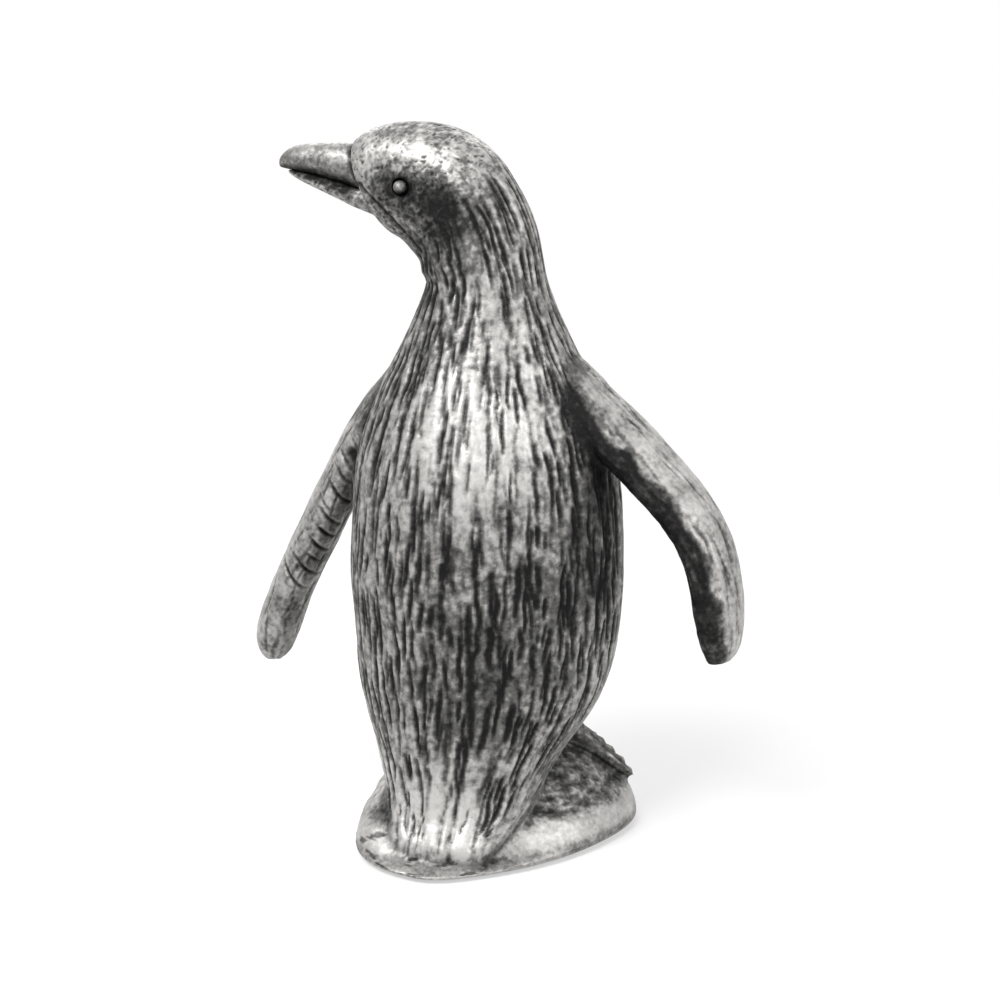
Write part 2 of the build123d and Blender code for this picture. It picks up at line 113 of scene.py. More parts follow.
class Skin:
    """A mesh as arrays in millimetres, so that it can be shaped, toned and shared out into pieces."""

    def __init__(self, nodes, voxel, rounds, grow=0.0):
        mesh = remeshed(nodes, voxel, rounds, grow)
        self.points = array_of(mesh.vertices, "co", 3) / MM
        self.quads = array_of(mesh.loops, "vertex_index", 1, np.int32).reshape(-1, 4)
        bpy.data.meshes.remove(mesh)
        self.a, self.b = self.quads.ravel(), np.roll(self.quads, -1, axis=1).ravel()
        self.count = np.maximum(np.bincount(self.a, minlength=len(self.points)), 1)
        self.push(-grow)

    def normals(self):
        """Vertex normals, weighed by area."""
        p, q, r, s = (self.points[self.quads[:, i]] for i in range(4))
        face = np.cross(r - p, s - q)
        total = np.zeros_like(self.points)
        for i in range(4):
            for axis in range(3):
                total[:, axis] += np.bincount(self.quads[:, i], face[:, axis], len(self.points))
        return total / np.maximum(np.linalg.norm(total, axis=1), TINY)[:, None]

    def push(self, distance):
        """Moves each vertex along its normal."""
        self.points = self.points + self.normals() * np.reshape(distance, (-1, 1))

    def mean_around(self, points):
        """Mean of each vertex's neighbours."""
        sums = [np.bincount(self.a, points[self.b, i], len(points)) for i in range(3)]
        return np.stack(sums, axis=1) / self.count[:, None]

    def ease(self, weight, rounds):
        """Smooths the skin where the weight says."""
        for _ in range(rounds):
            self.points += EASE_STEP * weight[:, None] * (self.mean_around(self.points) - self.points)

    def relief(self, rounds):
        """How far each vertex stands out of its surroundings."""
        spread = self.points
        for _ in range(rounds):
            spread = (1 - EASE_STEP) * spread + EASE_STEP * self.mean_around(spread)
        return np.einsum("ij,ij->i", self.points - spread, self.normals())

    def cap(self, work, rims, used):
        """Closes a cut mesh below its rims, and says which vertex each new one came from."""
        made = bmesh.ops.extrude_edge_only(work, edges=rims)["geom"]
        work.verts.index_update()
        out = self.normals()
        sources = []
        added = [item for item in made if isinstance(item, bmesh.types.BMVert)]
        for vertex in sorted(added, key=lambda item: item.index):
            ends = (edge.other_vert(vertex).index for edge in vertex.link_edges)
            sources.append(used[next(end for end in ends if end < len(used))])
            vertex.co -= Vector(out[sources[-1]]) * (CAP_SINK * MM)
            vertex.co.z = max(vertex.co.z, CAP_FLOOR * MM)
        edges = [item for item in made if isinstance(item, bmesh.types.BMEdge) and item.is_boundary]
        caps = bmesh.ops.holes_fill(work, edges=edges, sides=0)["faces"]
        bmesh.ops.triangulate(work, faces=caps)
        return sources

    def piece(self, name, nodes, tone=None, chosen=None, metal="pewter"):
        """An object of the chosen vertices' faces, closed where it was cut, to stand for CAD nodes."""
        quads = self.quads if chosen is None else self.quads[chosen[self.quads].any(axis=1)]
        used, faces = np.unique(quads, return_inverse=True)
        mesh = bpy.data.meshes.new(name)
        mesh.from_pydata(self.points[used] * MM, [], faces.reshape(-1, 4))
        work = bmesh.new()
        work.from_mesh(mesh)
        work.verts.ensure_lookup_table()
        rims = [edge for edge in work.edges if edge.is_boundary]
        sources = list(used)
        if rims:
            sources += self.cap(work, rims, used)
        work.to_mesh(mesh)
        work.free()
        mesh.shade_smooth()
        if tone is not None:
            layer = mesh.attributes.new("tone", "FLOAT", "POINT")
            layer.data.foreach_set("value", np.clip(tone[sources], 0, 1).astype(np.float32))
        mesh.normals_split_custom_set_from_vertices(self.normals()[sources])
        made = bpy.data.objects.new(name, mesh)
        bpy.context.collection.objects.link(made)
        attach(made, "root")
        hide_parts(*nodes)
        return made


def cloud(points, size, seed, octaves=3):
    """Fractal noise of about -1 to 1, with features of a size in millimetres."""
    shift = Vector([seed * step for step in SEED_STEPS])
    places = (Vector(p) / size + shift for p in points)
    return np.array([noise.fractal(place, FRACTAL_H, LACUNARITY, octaves) for place in places])


def blob(points, place, radius):
    """1 at a place, falling smoothly to 0 around it."""
    away = np.sum((points - np.array(place)) ** 2, axis=1)
    return np.exp(-away / radius**2)


def patches(points, rows):
    """Sum of blobs, each given as its strength, place and radius."""
    return sum(strength * blob(points, place, radius) for strength, place, radius in rows)


def ridge(off, width, power=2):
    """1 along the middle of a line or spot, falling smoothly to 0 beside it."""
    return np.exp(-((off / width) ** power))


def ramp(values, low, high):
    """Smooth step from 0 at low to 1 at high."""
    share = np.clip((values - low) / (high - low), 0, 1)
    return share * share * (3 - 2 * share)


def mix(weights, layers):
    """Sum of the layers that have a weight, each times its weight."""
    return sum(weight * layers[name] for name, weight in weights.items())


def line_flow(x, z, line):
    """Place along a line in the XZ plane and signed distance from it, with the length of the line."""
    knots = np.array(line, dtype=float)
    best = np.full(len(x), np.inf)
    along, out = np.zeros(len(x)), np.zeros(len(x))
    start = 0.0
    for (ax, az), (bx, bz) in zip(knots, knots[1:]):
        run = math.hypot(bx - ax, bz - az)
        ux, uz = (bx - ax) / run, (bz - az) / run
        place = np.clip((x - ax) * ux + (z - az) * uz, 0, run)
        dx, dz = x - ax - place * ux, z - az - place * uz
        far = np.hypot(dx, dz)
        nearer = far < best
        best = np.where(nearer, far, best)
        along = np.where(nearer, start + place, along)
        out = np.where(nearer, np.copysign(far, dz * ux - dx * uz), out)
        start += run
    return along, out, start


def away_from(node, points, reach):
    """Distance from each point to a CAD node, up to a reach."""
    mesh = frame["nodes"][node].data
    tree = BVHTree.FromPolygons([v.co for v in mesh.vertices], [p.vertices for p in mesh.polygons])
    found = (tree.find_nearest(Vector(p) * MM, reach * MM)[3] for p in points)
    return np.array([reach if far is None else far / MM for far in found])


# Chased strokes

FEWEST_STROKES = 3  # in a row round the trunk
ANGLE_JITTER = (-0.45, 0.45)  # of a stroke in its row, in shares of the step between strokes
ROW_JITTER = (-1, 1)  # of a stroke along the trunk
WAVE_HEIGHT, WAVE_PHASE, WAVE_RATE = (0, 0.13), (0, 6.3), 1.7
TAPER_POWER = 2.5  # a higher power keeps a stroke deep until nearer to its ends


def strokes(rng, rows, radius_of, spacing, length, width, depth, slant):
    """Strokes of a graver: angle, place along, length, half width, depth, slant, wave and phase of each."""
    made = []
    for along in rows:
        number = max(FEWEST_STROKES, int(FULL_TURN * radius_of(along) / spacing))
        start = rng.uniform(0, FULL_TURN)
        for k in range(number):
            angle = start + FULL_TURN * (k + rng.uniform(*ANGLE_JITTER)) / number
            sizes = [rng.uniform(*span) for span in (length, width, depth, slant)]
            place = along + rng.uniform(*ROW_JITTER)
            made.append((angle, place, *sizes, rng.uniform(*WAVE_HEIGHT), rng.uniform(*WAVE_PHASE)))
    return made


def chase(angle, along, radius, made):
    """Depth of the deepest stroke at each vertex."""
    depth = np.zeros(len(angle))
    order = np.argsort(along)
    ranked = along[order]
    for turn, middle, length, width, deep, slant, wave, phase in made:
        low, high = np.searchsorted(ranked, (middle - length / 2, middle + length / 2))
        here = order[low:high]
        run = along[here] - middle
        off = (angle[here] - turn + math.pi) % FULL_TURN - math.pi
        off = off * radius[here] - slant * run - wave * np.sin(WAVE_RATE * run + phase)
        off = off / math.hypot(1, slant)
        taper = 1 - np.abs(2 * run / length) ** TAPER_POWER
        depth[here] = np.maximum(depth[here], deep * taper * ridge(off, width))
    return depth


# Body and head: one trunk, whose places along are heights up to the neck and then a fan round the throat

NECK_HEIGHT = 56.6  # of the fan's centre
THROAT_REACH = 8.6  # of the fan's centre, from the body's axis to the left
FAN_LENGTH = 9.0  # millimetres of coat for each radian of the fan
FAN_ANGLES = (0, 25, 45, 65, 86, 99, 108, 112)
FAN_MIDDLES = (8.6, 8.48, 9.07, 9.63, 9.78, 9.9, 10.0, 10.2)  # from the fan's centre to the trunk's middle
TAIL_HEIGHTS = (1.5, 1.9, 3.2, 5.9, 9.9, 13.2, 17.5, 23.8)
TAIL_SETBACKS = (12.85, 12.6, 11.0, 7.75, 4.8, 2.7, 0.9, 0.0)  # of the trunk's middle
TAIL_ASPECTS = (4.4, 2.5, 1.54, 1.27, 1.07, 1.06, 1.06, 1.04)  # width over depth, widening to the tail's end
TRUNK_STATIONS = (2, 6, 13, 24, 32, 43, 50, 57, 70)
TRUNK_RADII = (5, 7, 11, 13.4, 13.6, 11.8, 8.4, 6, 5)


def trunk_flow(points):
    """Angle round the trunk, place along it and distance from its axis, from the tail to the bill."""
    x, y, z = points.T
    above = z > NECK_HEIGHT
    fan = np.arctan2(z - NECK_HEIGHT, THROAT_REACH - x)
    radius = np.hypot(z - NECK_HEIGHT, THROAT_REACH - x)
    out = np.where(above, radius - np.interp(np.degrees(fan), FAN_ANGLES, FAN_MIDDLES), -x)
    behind = np.interp(z, TAIL_HEIGHTS, TAIL_SETBACKS) - y
    across = np.where(above, -y, behind * np.interp(z, TAIL_HEIGHTS, TAIL_ASPECTS))
    along = np.where(above, NECK_HEIGHT + fan * FAN_LENGTH, z)
    return np.arctan2(across, out), along, np.hypot(out, across)


def trunk_radius(along):
    """Mean radius of the trunk at places along it."""
    return np.interp(along, TRUNK_STATIONS, TRUNK_RADII)


COAT_SEED = 41
BODY_CUTS = dict(spacing=2.8, length=(2.2, 8.0), width=(0.18, 0.36), depth=(0.14, 0.34), slant=(-0.1, 0.1))
NECK_CUTS = dict(spacing=2.8, length=(2.0, 5.5), width=(0.18, 0.32), depth=(0.14, 0.28), slant=(-0.1, 0.1))
FINE_CUTS = dict(spacing=2.8, length=(1.2, 4.0), width=(0.12, 0.17), depth=(0.04, 0.1), slant=(-0.2, 0.2))
TAIL_CUTS = dict(spacing=3.6, length=(1.2, 3.0), width=(0.14, 0.24), depth=(0.2, 0.34), slant=(-0.2, 0.2))
# First place, end and step of the rows of strokes along the trunk
BODY_ROWS, NECK_ROWS, FINE_ROWS, TAIL_ROWS = (2, 50, 1.3), (48, 65, 1.0), (2, 66, 1.1), (2, 7, 0.8)

graver = np.random.default_rng(COAT_SEED)
COAT = strokes(graver, np.arange(*BODY_ROWS), trunk_radius, **BODY_CUTS)
COAT += strokes(graver, np.arange(*NECK_ROWS), trunk_radius, **NECK_CUTS)
FINE = strokes(graver, np.arange(*FINE_ROWS), trunk_radius, **FINE_CUTS)
COAT += strokes(graver, np.arange(*TAIL_ROWS), trunk_radius, **TAIL_CUTS)

SKIN_STATIONS = (4, 8, 14, 24, 43, 50, 57, 70)
SKIN_RADII = (0, 4, 8, 10.4, 9, 6.2, 4.6, 3.6)  # nearer to the axis lie only holes and faces of joints
SKIN_END = 72.5  # place along the trunk from which all is outer skin
INNER_TONE = 0.35
COAT_HEIGHTS = (8, 14, 22, 40, 46, 51)
COAT_ANGLES = (62, 84, 98, 104, 118, 175)  # from the middle of the back to the edge of the coat
COAT_FADE = 3  # degrees to each side of the coat's edge
COLLAR = (50.0, 52.0)  # heights between which the coat closes round the neck
BALD = (62.0, 66.5)  # places along between which the deep strokes end on the head
TAIL_FADE = (2.5, 6.5)  # heights between which the strokes grow to their full depth
BELLY_SHARE, TAIL_SHARE, HEAD_LOSS = 0.25, 0.7, 0.6  # of the depth of strokes

EYE_LINE = ((8.4, 66.9), (7.4, 66.6), (5.0, 66.1), (3.0, 64.8), (2.4, 62.6))
BROW_LINE = ((11.6, 69.8), (8.2, 70.3), (5.2, 70.0), (2.6, 68.6), (0.6, 66.6))
JAW_LINE = ((12.2, 66.5), (9.8, 64.4), (7.7, 62.5), (5.6, 60.3))
HOLLOW_WIDTH, BROW_WIDTH, JAW_WIDTH = 2.1, 0.9, 0.24
EYE, SOCKET_RADIUS, SOCKET_POWER = (7.4, 66.6), 1.35, 4
# Painted shade on the cheek behind the eye: its middle, its radius, and how much the specks break it up
CHEEK, CHEEK_RADIUS, CHEEK_SPECKS = (1.2, 64.2), 4.4, 0.6
FACE_SIDE, FACE_HEIGHT = (1.2, 3.0), (57, 60)  # begin beside the head's middle and above the neck
# Painted shade in the mouth, on the lower bill under the upper bill: where along it begins, and how far up
# its surface faces
MOUTH_START, MOUTH_FACING = (13.2, 14.6), (0.0, 0.5)
SCALP, CROWN = (67.5, 69.0), (70.5, 72.5)  # heights of the painted highlight on the top of the head, and of the painted dark reflection at the top of the crown
PITTED, FRECKLED = (0.3, 0.7), (-0.1, 0.5)  # of the specks of noise

TRUNK_HEIGHT = {
    "swell": 0.06, "grain": 0.02, "belly": -0.16, "brow": 0.16, "hollow": -0.3, "jaw": -0.2, "cut": -1.0,
    "pits": -0.07,
}
# Of the tone's layers, cheek and mouth are painted shade, scalp a painted highlight and crown a painted dark
# reflection.
TRUNK_TONE = {
    "metal": 0.65, "swell": 0.16, "grain": 0.24, "deep": -2.2, "fine": -1.3, "pits": -0.3, "brow": 0.1,
    "hollow": -0.42, "jaw": -0.3, "socket": -0.2, "mouth_shade": -0.5, "cheek_shade": -0.26, "scalp_highlight": 0.07, "crown_dark_reflection": -0.2,
    "freckles": -0.2,
}
# Painted highlights and shade on the trunk, each as its strength, place and radius
TRUNK_PAINTED_LIGHT = (
    (0.38, (-3.7, 11.4, 43.0), 7.0),  # painted highlight on the upper back
    (0.42, (0.0, 15.0, 4.6), 6.5),  # painted highlight at the end of the tail
    (-0.26, (5.0, 3.6, 57.5), 4.2),  # painted shade below the cheek
    (-0.36, (-11.8, 2.5, 41.0), 4.2),  # painted shade in the right armpit
    (-0.3, (-4.6, 12.2, 18.6), 7.0),  # painted shade on the low back
    (-0.28, (-13.0, 4.0, 32.0), 8.0),  # painted shade on the right flank
    (-0.1, (-2.0, 13.0, 30.0), 8.0),  # painted shade on the middle of the back
)


def trunk_looks(points, out):
    """Height of the chasing on the body and the head, and their tone: the patina, with painted light and
    shade.
    """
    x, y, z = points.T
    angle, along, radius = trunk_flow(points)
    skin = (radius > np.interp(along, SKIN_STATIONS, SKIN_RADII)) | (along > SKIN_END)
    side = np.abs(np.degrees(np.arctan2(x, y - np.interp(z, TAIL_HEIGHTS, TAIL_SETBACKS))))
    edge = np.interp(z, COAT_HEIGHTS, COAT_ANGLES)
    coat = np.maximum(1 - ramp(side, edge - COAT_FADE, edge + COAT_FADE), ramp(z, *COLLAR))
    bare = ramp(along, *BALD)
    face = ramp(np.abs(y), *FACE_SIDE) * ramp(z, *FACE_HEIGHT)
    specks = cloud(points, size=0.5, seed=3, octaves=2)
    deep = chase(angle, along, radius, COAT) * (BELLY_SHARE + (1 - BELLY_SHARE) * coat) * (1 - bare)
    deep = deep * (TAIL_SHARE + (1 - TAIL_SHARE) * ramp(z, *TAIL_FADE))
    fine = chase(angle, along, radius, FINE) * (1 - HEAD_LOSS * bare)
    cheek_shade = ridge(np.hypot(x - CHEEK[0], z - CHEEK[1]), CHEEK_RADIUS)
    layers = {
        "metal": 1.0,
        "grain": cloud(points, size=0.7, seed=1, octaves=2),
        "swell": cloud(points, size=4.0, seed=2, octaves=2),
        "belly": 1 - coat,
        "deep": deep,
        "fine": fine,
        "cut": np.maximum(deep, fine),
        "pits": ramp(specks, *PITTED) * bare,
        "hollow": ridge(line_flow(x, z, EYE_LINE)[1], HOLLOW_WIDTH) * face,
        "brow": ridge(line_flow(x, z, BROW_LINE)[1], BROW_WIDTH) * face,
        "jaw": ridge(line_flow(x, z, JAW_LINE)[1], JAW_WIDTH) * face,
        "socket": ridge(np.hypot(x - EYE[0], z - EYE[1]), SOCKET_RADIUS, SOCKET_POWER) * face,
        "cheek_shade": cheek_shade * face * (1 - CHEEK_SPECKS * specks),
        "mouth_shade": ramp(x, *MOUTH_START) * ramp(out[:, 2], *MOUTH_FACING),
        "scalp_highlight": ramp(z, *SCALP),
        "crown_dark_reflection": bare * ramp(z, *CROWN),
        "freckles": bare * ramp(-specks, *FRECKLED),
    }
    tone = mix(TRUNK_TONE, layers) + patches(points, TRUNK_PAINTED_LIGHT)
    return np.where(skin, mix(TRUNK_HEIGHT, layers), 0), np.where(skin, tone, INNER_TONE)


# Flippers, each chased along its length, the left one with a row of marks across it and solder at its root

LEFT_LINE = (
    (8.6, 47.3), (11.0, 43.7), (13.7, 39.3), (16.5, 33.9), (19.3, 28.4), (21.2, 24.4), (22.8, 20.6),
    (23.8, 17.5), (24.3, 15.3),
)
RIGHT_LINE = (
    (-7.9, 48.5), (-10.8, 45.6), (-13.4, 43.1), (-16.8, 40.1), (-19.8, 37.2), (-22.7, 33.2), (-24.2, 28.7),
    (-24.6, 24.4), (-24.6, 20.9),
)
FLIPPER_START, FLIPPER_STEP, FLIPPER_RADIUS = 3, 1.3, 3.0  # of the rows of strokes
FLIPPER_CUTS = dict(
    spacing=3.2, length=(2.0, 7.0), width=(0.15, 0.28), depth=(0.05, 0.13), slant=(-0.2, 0.2)
)
MARK_START, MARK_STEP, MARK_JITTER = 9, 1.6, (-0.3, 0.3)  # along the flipper
MARK_TURN, MARK_LENGTH, MARK_DEPTH = (1.6, 2.1), (1.2, 2.2), (0.14, 0.26)
MARK_WIDTH, MARK_SLANT, MARK_WAVE, MARK_PHASE = 0.24, 1.5, 0.3, 0.0
FLIPPER_OUTER = (5, 11)  # places along between which it gets brighter
INSIDE, INSIDE_SWELL = (-1.5, -0.4), 0.9  # where the painted shade on the inner side begins, and how uneven its edge is
# Depths, places and radii of the pit in the solder at the left shoulder, and of the bead above it
SOLDER = ((0.4, (13.1, 3.9, 39.2), 0.75), (-0.16, (12.6, 4.0, 40.5), 0.9), (-0.14, (11.9, 4.1, 41.7), 0.9))
FLIPPER_HEIGHT = {"metal": -0.03, "swell": 0.09, "grain": 0.02, "deep": -1.0, "sunk": -1.0}
FLIPPER_TONE = {
    "metal": 0.68, "outer": 0.12, "swell": 0.2, "grain": 0.18, "deep": -2.0, "inside": -1.0, "sunk": -1.6,
}


def flipper_looks(points, line, hand, marks, shade, seed, solder=()):
    """Height of the chasing, the marks and the solder on a flipper, and its tone, with painted shade on the
    inside.
    """
    x, y, z = points.T
    along, off, length = line_flow(x, z, line)
    off = off * hand
    own = np.random.default_rng(seed)
    rows = np.arange(FLIPPER_START, length, FLIPPER_STEP)
    made = strokes(own, rows, lambda _: FLIPPER_RADIUS, **FLIPPER_CUTS)
    for k in range(marks):
        turn = own.uniform(*MARK_TURN)
        place = MARK_START + MARK_STEP * k + own.uniform(*MARK_JITTER)
        run, depth = own.uniform(*MARK_LENGTH), own.uniform(*MARK_DEPTH)
        made.append((turn, place, run, MARK_WIDTH, depth, MARK_SLANT, MARK_WAVE, MARK_PHASE))
    swell = cloud(points, size=3.0, seed=seed + 1, octaves=2)
    layers = {
        "metal": 1.0,
        "grain": cloud(points, size=0.6, seed=seed, octaves=2),
        "swell": swell,
        "deep": chase(np.arctan2(y, off), along, np.hypot(y, off), made),
        "outer": ramp(along, *FLIPPER_OUTER),
        "inside": shade * ramp(-off + INSIDE_SWELL * swell, *INSIDE),
        "sunk": patches(points, solder),
    }
    return mix(FLIPPER_HEIGHT, layers), mix(FLIPPER_TONE, layers)


# Feet and rock

SOLE = np.array((6.4, -5.0, 8.5))  # where the left foot's toes fan out from
AHEAD = (0.5, -0.866)  # level direction of the left foot
SLOPE_RUN, SLOPE_DROP = 0.695, 0.719  # of a foot, down towards its toes
TOES = np.array((AHEAD[0] * SLOPE_RUN, AHEAD[1] * SLOPE_RUN, -SLOPE_DROP))
TOP = np.array((AHEAD[0] * SLOPE_DROP, AHEAD[1] * SLOPE_DROP, SLOPE_RUN))
TOE_ANGLES, TOE_WIDTH, TOE_START, TOE_LEAST = (-26, 0, 26), 0.62, (1.0, 3.5), 0.1
FOOT_FACING = (0.0, 0.6)
KNUCKLE_RATE = 4.6
FOOT_HEIGHT = {"metal": -0.08, "upper": -0.35, "toe": 0.3, "knuckle": 0.12, "swell": 0.08, "grain": 0.04}
FOOT_TONE = {"metal": 0.40, "swell": 0.2, "grain": 0.14, "toe": 0.14}


def foot_looks(points, out, hand):
    """Height of three ridged toes on a foot, and its tone."""
    mirror = (hand, 1, 1)
    local = points * mirror - SOLE
    ahead, across = local @ TOES, local @ np.cross(TOP, TOES)
    turn = np.degrees(np.arctan2(across, np.maximum(ahead, TOE_LEAST)))
    reach = np.hypot(across, ahead)
    toe = sum(ridge(reach * np.radians(turn - middle), TOE_WIDTH) for middle in TOE_ANGLES)
    upper = ramp((out * mirror) @ TOP, *FOOT_FACING)
    toe = toe * ramp(ahead, *TOE_START) * upper
    layers = {
        "metal": 1.0,
        "upper": upper,
        "toe": toe,
        "knuckle": toe * np.sin(ahead * KNUCKLE_RATE),
        "swell": cloud(points, size=1.5, seed=51, octaves=3),
        "grain": cloud(points, size=0.45, seed=52, octaves=2),
    }
    return mix(FOOT_HEIGHT, layers), mix(FOOT_TONE, layers)


ROCK_TOP, ROCK_UPWARD, ROCK_DOWNWARD = (2.8, 5.0), (0.05, 0.5), (0.5, 0.8)
ROCK_LOW_SHADE = (1.3, 2.1)  # heights between which the painted shade along the lower edge ends
STREAK_STRETCH = (0.4, 0.8, 2.0)
SCARRED, SCAR_DEPTH = (0.2, 0.5), 0.12
SCAR_PLACE, SCAR_RADIUS = (3.0, 14.0, 2.0), 9.0  # in the rim behind the tail
LIT_PLACE, LIT_RADIUS = (9.6, 6.3, 4.0), 4.6  # painted light on the top, to the left of the tail, lifting the shade there
RIM_HEIGHT = {"metal": -0.2, "lumps": 0.14, "rough": 0.05}
TOP_HEIGHT = {"metal": -0.16, "rough": 0.09, "grain": 0.04, "streak": 0.15}
# foot is painted shade along the rock's lower edge, and the blob on the top to the left of the tail is
# painted light
ROCK_TONE = {"metal": 0.83, "lumps": 0.12, "grain": 0.1, "foot": -0.26, "scars": -0.45}
TOP_TONE = {"metal": -0.4, "rough": 0.16, "streak": 0.3, "painted_light": 0.42}


def rock_looks(points, out):
    """Height and tone of the rock: a smooth, rubbed rim with painted shade along its lower edge, and a rough
    dark top with painted light to the left of the tail.
    """
    z, facing = points[:, 2], out[:, 2]
    top = ramp(z, *ROCK_TOP) * ramp(facing, *ROCK_UPWARD)
    side = 1 - ramp(-facing, *ROCK_DOWNWARD)
    streak = cloud(points * STREAK_STRETCH, size=1.3, seed=64, octaves=3)
    scars = ramp(streak, *SCARRED) * (1 - top) * side * blob(points, SCAR_PLACE, SCAR_RADIUS)
    layers = {
        "metal": 1.0,
        "lumps": cloud(points, size=5.0, seed=61, octaves=3),
        "rough": cloud(points, size=1.8, seed=62, octaves=3),
        "grain": cloud(points, size=0.5, seed=63, octaves=2),
        "streak": streak,
        "foot": 1 - ramp(z, *ROCK_LOW_SHADE),
        "scars": scars,
        "painted_light": blob(points, LIT_PLACE, LIT_RADIUS),
    }
    height = side * mix(RIM_HEIGHT, layers) + top * mix(TOP_HEIGHT, layers) - SCAR_DEPTH * scars
    return height, mix(ROCK_TONE, layers) + top * mix(TOP_TONE, layers)


# The bird and the rock in one skin with filled solder joints, which is then shared out among the castings

CASTINGS = ("body", "head", "left_flipper", "right_flipper", "base_rock", "left_foot", "right_foot")
LOOKS = (
    trunk_looks,
    trunk_looks,
    # shade is the strength of the painted shade on each flipper's inner side
    lambda points, out: flipper_looks(points, LEFT_LINE, hand=1, marks=11, shade=0.18, seed=5, solder=SOLDER),
    lambda points, out: flipper_looks(points, RIGHT_LINE, hand=-1, marks=0, shade=0.74, seed=9),
    rock_looks,
    lambda points, out: foot_looks(points, out, hand=1),
    lambda points, out: foot_looks(points, out, hand=-1),
)
BODY, HEAD, ROCK = (CASTINGS.index(node) for node in ("body", "head", "base_rock"))
OTHERS = [number for number in range(len(CASTINGS)) if number != BODY]

FINE_VOXEL = 0.15
BODY_VOXEL = 0.238  # coarser, so that the body stays under the exporter's limit of triangles
SKIN_ROUNDS, SKIN_GROWTH = 3, 0.04
FAR_REACH = 2.0  # up to which the distance to a casting is measured
JOINT_REACH, LOW_REACH = 1.5, 0.7  # of a joint's filling, and of that at the rock and feet ahead of the tail
TAIL_FRONT = 9
JOINT_CORE, JOINT_DARK, JOINT_TONE = (0, 0.7), (0.2, 0.9), 0.2
CHIN_BACK, CHIN_FRONT, CHIN_TOP = (9.6, 10.8), (13.2, 14.4), (63.6, 64.8)
EASE_AREA, RELIEF_AREA = 1.6, 0.45  # over the area of a voxel's face, the rounds of smoothing
RELIEF_TONE = 1.3
BLEND_REACH, LIVE_REACH, LEAST_SHARE = 0.25, 0.8, 0.01
BODY_LAP, LAP_SLOPE = 0.45, 0.25  # how far the body goes on under other castings, and its fall there


def bird(voxel, wanted):
    """The skin with the looks of the wanted castings, its tone, and how far each casting is."""
    skin = Skin(CASTINGS, voxel, SKIN_ROUNDS, SKIN_GROWTH)
    far = np.stack([away_from(node, skin.points, FAR_REACH) for node in CASTINGS], axis=1)
    ranked = np.argsort(far, axis=1)
    second = np.take_along_axis(far, ranked[:, 1:2], axis=1)[:, 0]
    later = ranked[:, :2].max(axis=1)
    x, y, z = skin.points.T
    reach = np.where((later >= ROCK) & (y < TAIL_FRONT), LOW_REACH, JOINT_REACH)
    joint = np.clip(1 - second / reach, 0, 1)
    chin = ramp(x, *CHIN_BACK) * (1 - ramp(x, *CHIN_FRONT)) * (1 - ramp(z, *CHIN_TOP))
    skin.ease(np.maximum(ramp(joint, *JOINT_CORE), chin), int(EASE_AREA / voxel**2))
    out = skin.normals()
    height, tone = np.zeros(len(far)), np.zeros(len(far))
    shares = np.exp(-far / BLEND_REACH)
    shares = shares / shares.sum(axis=1)[:, None]
    live = far[:, wanted].min(axis=1) < LIVE_REACH
    for column, looks in enumerate(LOOKS):
        own = live & (shares[:, column] > LEAST_SHARE)
        own_height, own_tone = looks(skin.points[own], out[own])
        height[own] += shares[own, column] * own_height
        tone[own] += shares[own, column] * own_tone
    skin.push(height)
    tone += RELIEF_TONE * skin.relief(int(RELIEF_AREA / voxel**2))
    tone -= JOINT_TONE * ramp(joint, *JOINT_DARK) * (later != HEAD)
    return skin, tone, far


skin, tone, far = bird(FINE_VOXEL, OTHERS)
owner = far.argmin(axis=1)
for number in OTHERS:
    skin.piece(CASTINGS[number] + "_casting", (CASTINGS[number],), tone, owner == number)
skin, tone, far = bird(BODY_VOXEL, [BODY])
past = far[:, BODY] - far.min(axis=1)
skin.push(-LAP_SLOPE * np.clip(past, 0, BODY_LAP))
skin.piece("body_casting", ("body",), tone, past < BODY_LAP)


# Bill and eyes

SMALL_VOXEL, SMALL_ROUNDS = 0.1, 3
GRAIN_SHARE = 0.4  # of the unevenness
SHADE_FACING = (0.2, 0.8)  # how far down the shaded underside faces
SEAM_LEAN, SEAM_HEIGHT, SEAM_WIDTH = 0.35, 67, 0.5
BILL_ROOT, NO_ROOT = 13.3, 0.0  # place of the dark seam at a bill's root, and one that lies behind the eyes
RELIEF_ROUNDS = 10
# shade is painted shade on the underside, together with the dark seam at a bill's root
POLISHED_TONE = {"swell": 0.12, "grain": 0.12, "relief": 1.2, "shade": -0.4}


def polished(node, name, seed, level, unevenness, root):
    """A smooth, bright casting, with painted shade below and a dark seam at its root."""
    skin = Skin((node,), SMALL_VOXEL, SMALL_ROUNDS)
    swell = cloud(skin.points, size=2.5, seed=seed, octaves=3)
    grain = cloud(skin.points, size=0.5, seed=seed + 1, octaves=2)
    skin.push(unevenness * (swell + GRAIN_SHARE * grain))
    below = ramp(-skin.normals()[:, 2], *SHADE_FACING)
    ahead = skin.points[:, 0] - SEAM_LEAN * (skin.points[:, 2] - SEAM_HEIGHT)
    seam = 1 - ramp(ahead, root, root + SEAM_WIDTH)
    layers = {
        "swell": swell,
        "grain": grain,
        "relief": skin.relief(RELIEF_ROUNDS),
        "shade": np.maximum(below, seam),
    }
    skin.piece(name, (node,), level + mix(POLISHED_TONE, layers))


polished("upper_bill", "upper_bill_casting", seed=21, level=0.58, unevenness=0.03, root=BILL_ROOT)
for node in ("left_eye", "right_eye"):
    polished(node, node + "_bead", seed=31, level=0.52, unevenness=0.0, root=NO_ROOT)


# Felt

FELT_VOXEL, FELT_ROUNDS, FUZZ = 0.2, 4, 0.05


